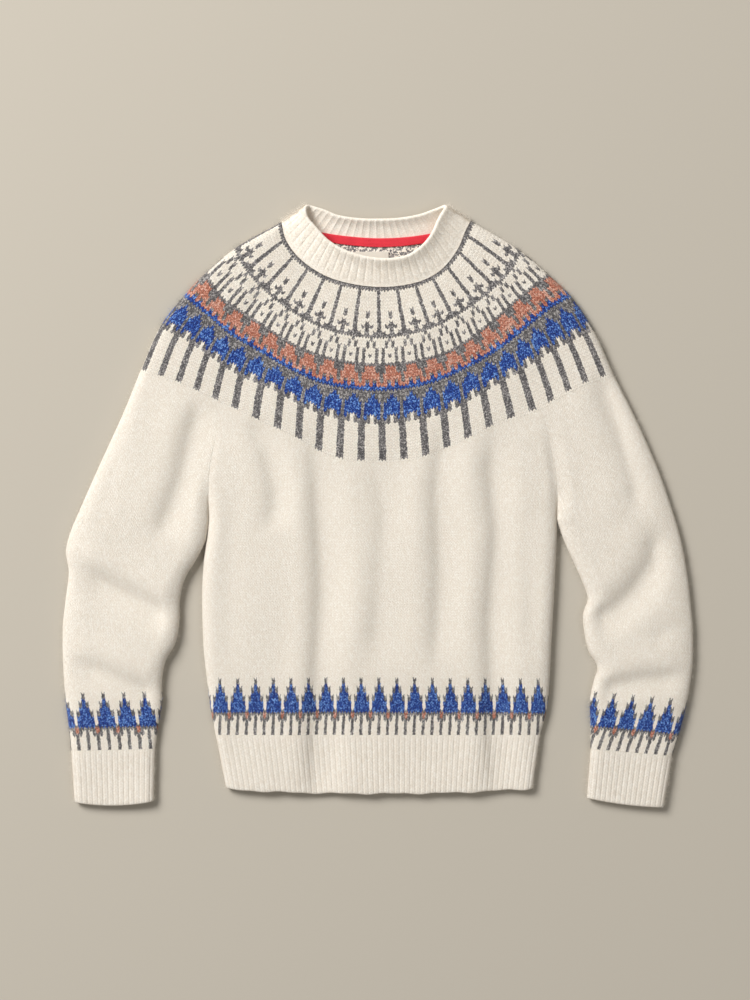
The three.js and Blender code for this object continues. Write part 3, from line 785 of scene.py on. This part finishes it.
def stepped(tree, value, stops):
    """A colour that stays the same from one stop (place, colour) to the next."""
    ramp = tree.nodes.new("ShaderNodeValToRGB")
    ramp.color_ramp.interpolation = "CONSTANT"
    elements = ramp.color_ramp.elements
    elements.remove(elements[-1])
    elements[0].position, elements[0].color = stops[0]
    for place, colour in stops[1:]:
        elements.new(place).color = colour
    tree.links.new(value, ramp.inputs[0])
    return ramp.outputs[0]


# The yarns: cream, heather grey, heather blue and heather coral, each as its darkest,
# middle and lightest fibres. A yarn's code is the middle of its quarter of 0 to 1.
YARNS = {
    "W": ("F1E6D6", "F6EDDF", "FCF5E9"),
    "G": ("5A5759", "84807F", "C8C2BE"),
    "B": ("082A7A", "1A50B4", "86B6F4"),
    "C": ("BA6A52", "DC9278", "F5CAB6"),
}
CODE = {yarn: (k + 0.5) / 4 for k, yarn in enumerate(YARNS)}

# Charts, one string for each course from the top down. Each repeat is six stitches and
# mirrors about its first and its fourth stitch.
TREES = (
    ["WWWWWW"] + ["WWWGWW"] * 2 + ["WWWBWW"] + ["WWGBGW"] * 2 + ["WWBBBW"] + ["WGBBBG"] * 2
    + ["WBBBBB"] * 3 + ["GBBBBB", "CGGGGG", "CGWGWG", "GGWGWG"] + ["GWWGWW"] * 5
)
SPOKES = (
    ["GGGGGG"] + ["GWWWWW"] * 6 + ["GWWGWW"] * 2
    + ["GWWWWW", "GWWGWW", "GWGGGW", "GWWGWW", "GGWGWG", "GGGGGG"]
)
LANTERNS = (
    ["GWWWWW"] + ["WGWWWG"] * 2 + ["WWGWGW"] * 2 + ["GWGWGW"] + ["WWGWGW"] * 2 + ["GGGGGG"]
    + ["CCGGGC"] * 2 + ["CCCGCC"] * 2 + ["CGCGCG", "CBCCCB", "BBBBBB", "GGGGGG"]
)
ARCHES = ["BGGGGG", "BBGGGB"] + ["BBBGBB"] * 3 + ["WGBGBG", "WGGGGG"] + ["WWGGGW"] * 13 + ["WWWWWW"]
# The yoke's rings: chart, first course, repeats on the front and turn of the repeat's start.
YOKE_BANDS = ((SPOKES, 0, 14, -0.1), (LANTERNS, 15, 20, 0.28), (ARCHES, 32, 24, 0.22))
BAR_HALF_GAP = 2.0  # stitches from the middle of the gap between two bars to the leg a bar starts on


def chart_yarn(tree, chart, first, course, place, starts=(0.5, 1.5, 2.5)):
    """The yarn code at a course and a place 0 to 3 in the repeat, read from a chart.
    starts are the places at which its second, third and fourth stitch begin."""
    spot = calc(tree, "ADD", course, 0.5 - first)
    spot = calc(tree, "DIVIDE", spot, float(len(chart)))
    yarn = None
    for column in range(4):
        codes = [CODE[row[column]] for row in chart]
        new = [k for k, code in enumerate(codes) if k == 0 or code != codes[k - 1]]
        stitch = stepped(tree, spot, [(k / len(codes), [codes[k]] * 3 + [1]) for k in new])
        if yarn is None:
            yarn = stitch
        else:
            past = calc(tree, "GREATER_THAN", place, starts[column - 1])
            yarn = add(tree, MIX, {0: past, 6: yarn, 7: stitch}, out=2, data_type="RGBA")
    return yarn


def stitch_cell(tree, u, v, lean=0.65):
    """One stocking stitch: its course, how high its leg stands, and the leg's own number."""
    inside = calc(tree, "FRACT", u)
    side = calc(tree, "MULTIPLY_ADD", inside, 2.0, -1.0)
    side = calc(tree, "ABSOLUTE", side)
    slope = calc(tree, "MULTIPLY_ADD", side, lean, -lean / 2)
    along = calc(tree, "ADD", v, slope)
    course = calc(tree, "FLOOR", along)
    across = calc(tree, "FRACT", along)
    round_leg = calc(tree, "MULTIPLY_ADD", across, 2.0, -1.0)
    round_leg = calc(tree, "POWER", round_leg, 2.0)
    round_leg = calc(tree, "SUBTRACT", 1.0, round_leg)
    # the legs meet in a groove at the stitch's middle and at its sides
    ends = calc(tree, "MULTIPLY_ADD", side, 2.0, -1.0)
    ends = calc(tree, "POWER", ends, 4.0)
    ends = calc(tree, "SUBTRACT", 1.0, ends)
    height = calc(tree, "MULTIPLY", round_leg, ends)
    legs = calc(tree, "MULTIPLY", u, 2.0)
    legs = calc(tree, "FLOOR", legs)
    leg = add(tree, "ShaderNodeCombineXYZ", {0: legs, 1: course})
    return course, height, leg


def knit_coordinates(tree, wobble):
    """Stitch and course numbers from the piece's own map, with the hand's small unevenness."""
    uv = add(tree, "ShaderNodeUVMap", uv_map="stitches")
    place = add(tree, "ShaderNodeTexCoord", out=3)
    strays = []
    for scale, detail, amount in ((260.0, 1.0, wobble), (950.0, 2.0, 1.3 * wobble)):
        stray = add(tree, NOISE, {"Vector": place, "Scale": scale, "Detail": detail}, out=1)
        stray = add(tree, VECTOR, {0: stray, 1: (0.5, 0.5, 0.5)}, operation="SUBTRACT")
        strays.append(add(tree, VECTOR, {0: stray, "Scale": amount}, operation="SCALE"))
    return uv, place, add(tree, VECTOR, {0: strays[0], 1: strays[1]}, operation="ADD")


def yarn_colours(tree, code, place, leg=None, height=None):
    """The yarn's colour: carded fibres of three tones, mixed along the strand, so that one leg
    of a stitch comes out lighter or darker than the next. leg is the leg's own number; height
    paints a highlight, giving the raised middle of each leg the lighter tones."""
    tones = [
        stepped(tree, code, [(k / 4, linear(shades[tone])) for k, shades in enumerate(YARNS.values())])
        for tone in range(3)
    ]
    speckle_and_highlight = add(tree, NOISE, {"Vector": place, "Scale": 620.0, "Detail": 3.0, "Roughness": 0.7})
    if leg is not None:
        chance = add(tree, "ShaderNodeTexWhiteNoise", {"Vector": leg}, noise_dimensions="3D")
        chance = calc(tree, "MULTIPLY_ADD", chance, 0.16, -0.08)
        speckle_and_highlight = calc(tree, "ADD", speckle_and_highlight, chance)
        # painted highlight: the raised middle of each leg is pushed toward the lighter tone
        ridge = calc(tree, "MULTIPLY_ADD", height, 0.11, -0.06)
        speckle_and_highlight = calc(tree, "ADD", speckle_and_highlight, ridge)
    darker = add(tree, "ShaderNodeMapRange", {0: speckle_and_highlight, 1: 0.42, 2: 0.52, 3: 1.0, 4: 0.0})
    lighter = add(tree, "ShaderNodeMapRange", {0: speckle_and_highlight, 1: 0.54, 2: 0.65, 3: 0.0, 4: 1.0})
    colour = add(tree, MIX, {0: darker, 6: tones[1], 7: tones[0]}, out=2, data_type="RGBA")
    return add(tree, MIX, {0: lighter, 6: colour, 7: tones[2]}, out=2, data_type="RGBA")


def wool_surface(material, colour, height, place, depth):
    """Brushed wool: matt, with a pale bloom of fibres, and its stitches raised under it."""
    tree = material.node_tree
    shader = tree.nodes["Principled BSDF"]
    fibres = add(tree, NOISE, {"Vector": place, "Scale": 900.0, "Detail": 4.0, "Roughness": 0.65})
    relief = calc(tree, "MULTIPLY_ADD", fibres, 0.55, height)
    bump = add(tree, "ShaderNodeBump", {"Strength": 1.0, "Distance": depth, "Height": relief})
    tree.links.new(colour, shader.inputs["Base Color"])
    tree.links.new(bump, shader.inputs["Normal"])
    shader.inputs["Roughness"].default_value = 0.92
    shader.inputs["Specular IOR Level"].default_value = 0.22
    shader.inputs["Sheen Weight"].default_value = 0.25
    shader.inputs["Sheen Roughness"].default_value = 0.55
    shader.inputs["Sheen Tint"].default_value = linear("FFF8EC")
    return material


def new_material(name):
    material = bpy.data.materials.new(name)
    material.use_nodes = True
    return material


def shade_grooves(tree, colour, height, code, cream):
    """Less light reaches the grooves between stitches than their raised legs. The cream is brushed,
    so its stitches are softer than those in the dyed yarns: cream is the light left in its grooves.
    Gives the colour and the relief."""
    dyed = calc(tree, "GREATER_THAN", code, 0.25)
    dark = calc(tree, "MULTIPLY_ADD", dyed, 0.55 - cream, cream)
    amount = add(tree, "ShaderNodeMapRange", {0: height, 1: 0.0, 2: 0.5, 3: dark, 4: 1.0})
    raised = calc(tree, "MULTIPLY_ADD", dyed, 0.45, 0.45)
    relief = calc(tree, "MULTIPLY", height, raised)
    return add(tree, VECTOR, {0: colour, "Scale": amount}, operation="SCALE"), relief


def brushed_lambswool():
    """Brushed lambswool in stocking stitch: cream, with small trees stranded in above the rib."""
    material = new_material("brushed_lambswool_stocking_knit")
    tree = material.node_tree
    uv, place, drift = knit_coordinates(tree, 0.5)
    moved = add(tree, VECTOR, {0: uv, 1: drift}, operation="ADD")
    u, v = split(tree, moved)
    course, height, leg = stitch_cell(tree, u, v, 0.95)
    number = calc(tree, "FLOOR", u)
    repeat = calc(tree, "FLOORED_MODULO", number, 6.0)
    mirrored = calc(tree, "SUBTRACT", 6.0, repeat)
    place_in = calc(tree, "MINIMUM", repeat, mirrored)
    code = chart_yarn(tree, TREES, -1.0, course, place_in)
    colour = yarn_colours(tree, code, place, leg, height)
    colour, relief = shade_grooves(tree, colour, height, code, 0.93)
    return wool_surface(material, colour, relief, place, 0.0007)


def stranded_yoke():
    """Fair isle knit of the yoke: three rings of charts whose repeats fan out from the neck."""
    material = new_material("stranded_four_yarn_knit")
    tree = material.node_tree
    uv, place, drift = knit_coordinates(tree, 0.5)
    s, v = split(tree, uv)
    sway, lift = split(tree, drift)
    v = calc(tree, "ADD", v, lift)
    v = calc(tree, "ADD", v, -0.15)
    code = None
    for chart, first, repeats, offset in YOKE_BANDS:
        at = s
        if chart is ARCHES:
            # the lowest ring is stretched on the slopes of the shoulders and gathered at their edges
            for waves, share in ((1, 0.09), (2, 0.045)):
                wave = calc(tree, "MULTIPLY", s, 2 * math.pi * waves)
                wave = calc(tree, "SINE", wave)
                at = calc(tree, "MULTIPLY_ADD", wave, share / (2 * math.pi), at)
        turn = calc(tree, "MULTIPLY_ADD", at, float(repeats), offset + 0.5 + 1 / 12 + 3)
        u = calc(tree, "MULTIPLY_ADD", turn, 6.0, sway)
        course, rise, own_leg = stitch_cell(tree, u, v)
        number = calc(tree, "FLOOR", u)
        repeat = calc(tree, "FLOORED_MODULO", number, 6.0)
        # the repeat's first stitch sits at turn 0.5, so the count is mirrored about it
        away = calc(tree, "SUBTRACT", repeat, 3.0)
        away = calc(tree, "ABSOLUTE", away)
        yarn = chart_yarn(tree, chart, float(first), course, away)
        if chart is ARCHES:
            # the bars below the arches are two stitches wide, each from a leg to a leg
            near = calc(tree, "FLOORED_MODULO", u, 6.0)
            near = calc(tree, "SUBTRACT", near, 3.5)
            near = calc(tree, "ABSOLUTE", near)
            in_gap = calc(tree, "LESS_THAN", near, BAR_HALF_GAP)
            in_bars = calc(tree, "GREATER_THAN", course, first + 6.5)
            in_gap = calc(tree, "MULTIPLY", in_gap, in_bars)
            yarn = add(tree, MIX, {0: in_gap, 6: yarn, 7: [CODE["W"]] * 3 + [1]}, out=2, data_type="RGBA")
        if code is None:
            code, height, leg = yarn, rise, own_leg
        else:
            below = calc(tree, "GREATER_THAN", course, first - 0.5)
            code = add(tree, MIX, {0: below, 6: code, 7: yarn}, out=2, data_type="RGBA")
            height = add(tree, MIX, {0: below, 2: height, 3: rise}, data_type="FLOAT")
            leg = add(tree, MIX, {0: below, 4: leg, 5: own_leg}, out=1, data_type="VECTOR")
    colour = yarn_colours(tree, code, place, leg, height)
    colour, relief = shade_grooves(tree, colour, height, code, 0.74)
    return wool_surface(material, colour, relief, place, 0.0007)


def yoke_wrong_side():
    """The yoke's inside: floats of grey and cream that cross each other in short dashes."""
    material = new_material("stranded_knit_wrong_side")
    tree = material.node_tree
    uv = add(tree, "ShaderNodeUVMap", uv_map="stitches")
    place = add(tree, "ShaderNodeTexCoord", out=3)
    s, v = split(tree, uv)
    dash = add(tree, "ShaderNodeCombineXYZ", {0: calc(tree, "MULTIPLY", s, 60.0), 1: v})
    mottle = add(tree, NOISE, {"Vector": dash, "Scale": 1.1, "Detail": 2.0, "Roughness": 0.6})
    code = calc(tree, "LESS_THAN", mottle, 0.52)
    code = add(tree, "ShaderNodeMapRange", {0: code, 3: CODE["W"], 4: CODE["G"]})
    colour = yarn_colours(tree, code, place)
    return wool_surface(material, colour, mottle, place, 0.0008)


def cream_rib(name, tone):
    """Wool rib: cream, its columns of stitches standing as ridges, small legs along each. The tone
    scales its colour against the brushed cloth's, 1 for the same: above 1 it is painted light,
    below 1 painted shade."""
    material = new_material(name)
    tree = material.node_tree
    uv, place, drift = knit_coordinates(tree, 0.25)
    moved = add(tree, VECTOR, {0: uv, 1: drift}, operation="ADD")
    u, v = split(tree, moved)
    _, height, leg = stitch_cell(tree, u, v, 1.1)
    code = add(tree, "ShaderNodeValue")
    code.default_value = CODE["W"]
    colour = yarn_colours(tree, code, place, leg, height)
    colour, relief = shade_grooves(tree, colour, height, code, 0.92)
    # painted light where the tone is above 1, painted shade where it is below
    colour = add(tree, VECTOR, {0: colour, "Scale": tone}, operation="SCALE")
    return wool_surface(material, colour, relief, place, 0.00025)


def red_tape():
    """Cotton herringbone tape: saturated red, its fine twill lines meeting in points."""
    material = new_material("red_cotton_herringbone_tape")
    tree = material.node_tree
    shader = tree.nodes["Principled BSDF"]
    uv = add(tree, "ShaderNodeUVMap", uv_map="stitches")
    u, v = split(tree, uv)
    zigzag = calc(tree, "PINGPONG", v, 1.7)
    twill = calc(tree, "ADD", u, zigzag)
    twill = calc(tree, "MULTIPLY", twill, 2 * math.pi / 0.9)
    twill = calc(tree, "SINE", twill)
    # painted highlight on the raised twill lines and painted shade in their hollows: the red follows the same
    # wave as the bump
    tone = add(tree, "ShaderNodeMapRange", {0: twill, 1: -1.0, 2: 1.0, 3: 0.0, 4: 1.0})
    colour = add(tree, MIX, {0: tone, 6: linear("EE2A3A"), 7: linear("FF4E5C")}, out=2, data_type="RGBA")
    bump = add(tree, "ShaderNodeBump", {"Strength": 0.6, "Distance": 0.00025, "Height": twill})
    tree.links.new(colour, shader.inputs["Base Color"])
    tree.links.new(bump, shader.inputs["Normal"])
    shader.inputs["Roughness"].default_value = 0.75
    shader.inputs["Specular IOR Level"].default_value = 0.3
    return material


def woven_label():
    """Damask label: off-white, a fine rib across it, and nothing woven on it."""
    material = new_material("offwhite_damask_label")
    tree = material.node_tree
    shader = tree.nodes["Principled BSDF"]
    uv = add(tree, "ShaderNodeUVMap", uv_map="stitches")
    v = split(tree, uv)[1]
    pick = calc(tree, "MULTIPLY", v, 2 * math.pi / 0.6)
    pick = calc(tree, "SINE", pick)
    bump = add(tree, "ShaderNodeBump", {"Strength": 0.4, "Distance": 0.0001, "Height": pick})
    tree.links.new(bump, shader.inputs["Normal"])
    shader.inputs["Base Color"].default_value = linear("DED7CA")
    shader.inputs["Roughness"].default_value = 0.6
    return material


# ------------------------------------------------------------------ building and naming the pieces

lambswool, fair_isle, wrong_side = brushed_lambswool(), stranded_yoke(), yoke_wrong_side()
# the collar's rib is painted lighter and the hem's and cuffs' rib painted darker: lit and shaded copies of
# one cream rib
collar_rib_painted_light, hem_cuff_rib_painted_shade = cream_rib("cream_wool_deep_rib", 1.03), cream_rib("cream_wool_fine_rib", 0.89)
tape_weave, label_weave = red_tape(), woven_label()

yoke = make_yoke()
body_front = make_body("front_panel", True)
body_back = make_body("back_panel", False)
sleeve_left = make_sleeve("left_sleeve", LEFT_SLEEVE, LEFT_SHOULDER, LEFT_SEAM, -1, 3.58)
sleeve_right = make_sleeve("right_sleeve", RIGHT_SLEEVE, RIGHT_SHOULDER, RIGHT_SEAM, 1, 3.33)
hem_rib = make_rib_ring("hem", hem_path, 60, (HEM_TOP, 8.6), 14.0)
cuff_left = make_rib_ring("left_cuff", cuff_path(LEFT_SLEEVE, "left"), 16, CUFF_TOPS, 12.5)
cuff_right = make_rib_ring("right_cuff", cuff_path(RIGHT_SLEEVE, "right"), 16, CUFF_TOPS, 12.5)
neck_rib = make_collar()
neck_tape = make_tape()
neck_label = make_label()

FINISHES = {
    "body_back": (body_back, [lambswool]),
    "body_front": (body_front, [lambswool]),
    "sleeve_left": (sleeve_left, [lambswool]),
    "sleeve_right": (sleeve_right, [lambswool]),
    "yoke": (yoke, [fair_isle, wrong_side]),
    "neck_rib": (neck_rib, [collar_rib_painted_light]),
    "hem_rib": (hem_rib, [hem_cuff_rib_painted_shade]),
    "cuff_left": (cuff_left, [hem_cuff_rib_painted_shade]),
    "cuff_right": (cuff_right, [hem_cuff_rib_painted_shade]),
    "neck_tape": (neck_tape, [tape_weave]),
    "neck_label": (neck_label, [label_weave]),
}
HAIRS = {
    "body_front": 2200, "sleeve_left": 3400, "sleeve_right": 3400, "yoke": 3200,
    "neck_rib": 2600, "hem_rib": 2600, "cuff_left": 1100, "cuff_right": 1100,
}
hairs = {}
for part, (piece, materials) in FINISHES.items():
    for material in materials:
        piece.data.materials.append(material)
    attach(piece, "root")
    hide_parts(part)
    if part in HAIRS:
        hairs[part] = fibres(piece.name, HAIRS[part], len(hairs) + 1)
        hairs[part].data.materials.append(materials[0])
        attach(hairs[part], "root")

# ------------------------------------------------------------------ floor, light and camera

floor_mesh = bpy.data.meshes.new("floor")
FLOOR = 4.0  # half the width of the floor, in metres
corners = [(-FLOOR, -FLOOR, 0), (FLOOR, -FLOOR, 0), (FLOOR, FLOOR, 0), (-FLOOR, FLOOR, 0)]
floor_mesh.from_pydata(corners, [], [(0, 1, 2, 3)])
floor = bpy.data.objects.new("floor", floor_mesh)
bpy.context.scene.collection.objects.link(floor)
paper = new_material("pale_studio_paper")
paper.node_tree.nodes["Principled BSDF"].inputs["Base Color"].default_value = linear("C0B8AA")
paper.node_tree.nodes["Principled BSDF"].inputs["Roughness"].default_value = 0.9
floor_mesh.materials.append(paper)

world = bpy.data.worlds.new("studio")
bpy.context.scene.world = world
world.use_nodes = True
world.node_tree.nodes["Background"].inputs["Color"].default_value = linear("F4F2EE")
world.node_tree.nodes["Background"].inputs["Strength"].default_value = 0.25


def softbox(name, size, place, watts):
    """A square area light that faces the middle of the garment."""
    light = bpy.data.lights.new(name, "AREA")
    light.size = size
    light.energy = watts
    made = bpy.data.objects.new(name, light)
    bpy.context.scene.collection.objects.link(made)
    made.location = place
    made.rotation_euler = (-Vector(place)).to_track_quat("-Z", "Y").to_euler()


softbox("key", 2.4, (-3.4, 2.9, 3.3), 395)
softbox("fill", 2.4, (2.6, -1.4, 4.2), 30)

LENS_HEIGHT = 2.4
FRAME_HEIGHT = 1.05  # metres of floor from the top to the bottom of the picture
camera = bpy.data.cameras.new("camera")
camera.lens = 36 * (LENS_HEIGHT - 0.01) / FRAME_HEIGHT
overhead = bpy.data.objects.new("camera", camera)
bpy.context.scene.collection.objects.link(overhead)
overhead.location = (-0.00295, 0.00647, LENS_HEIGHT)
bpy.context.scene.camera = overhead
bpy.context.scene.view_settings.view_transform = "Standard"
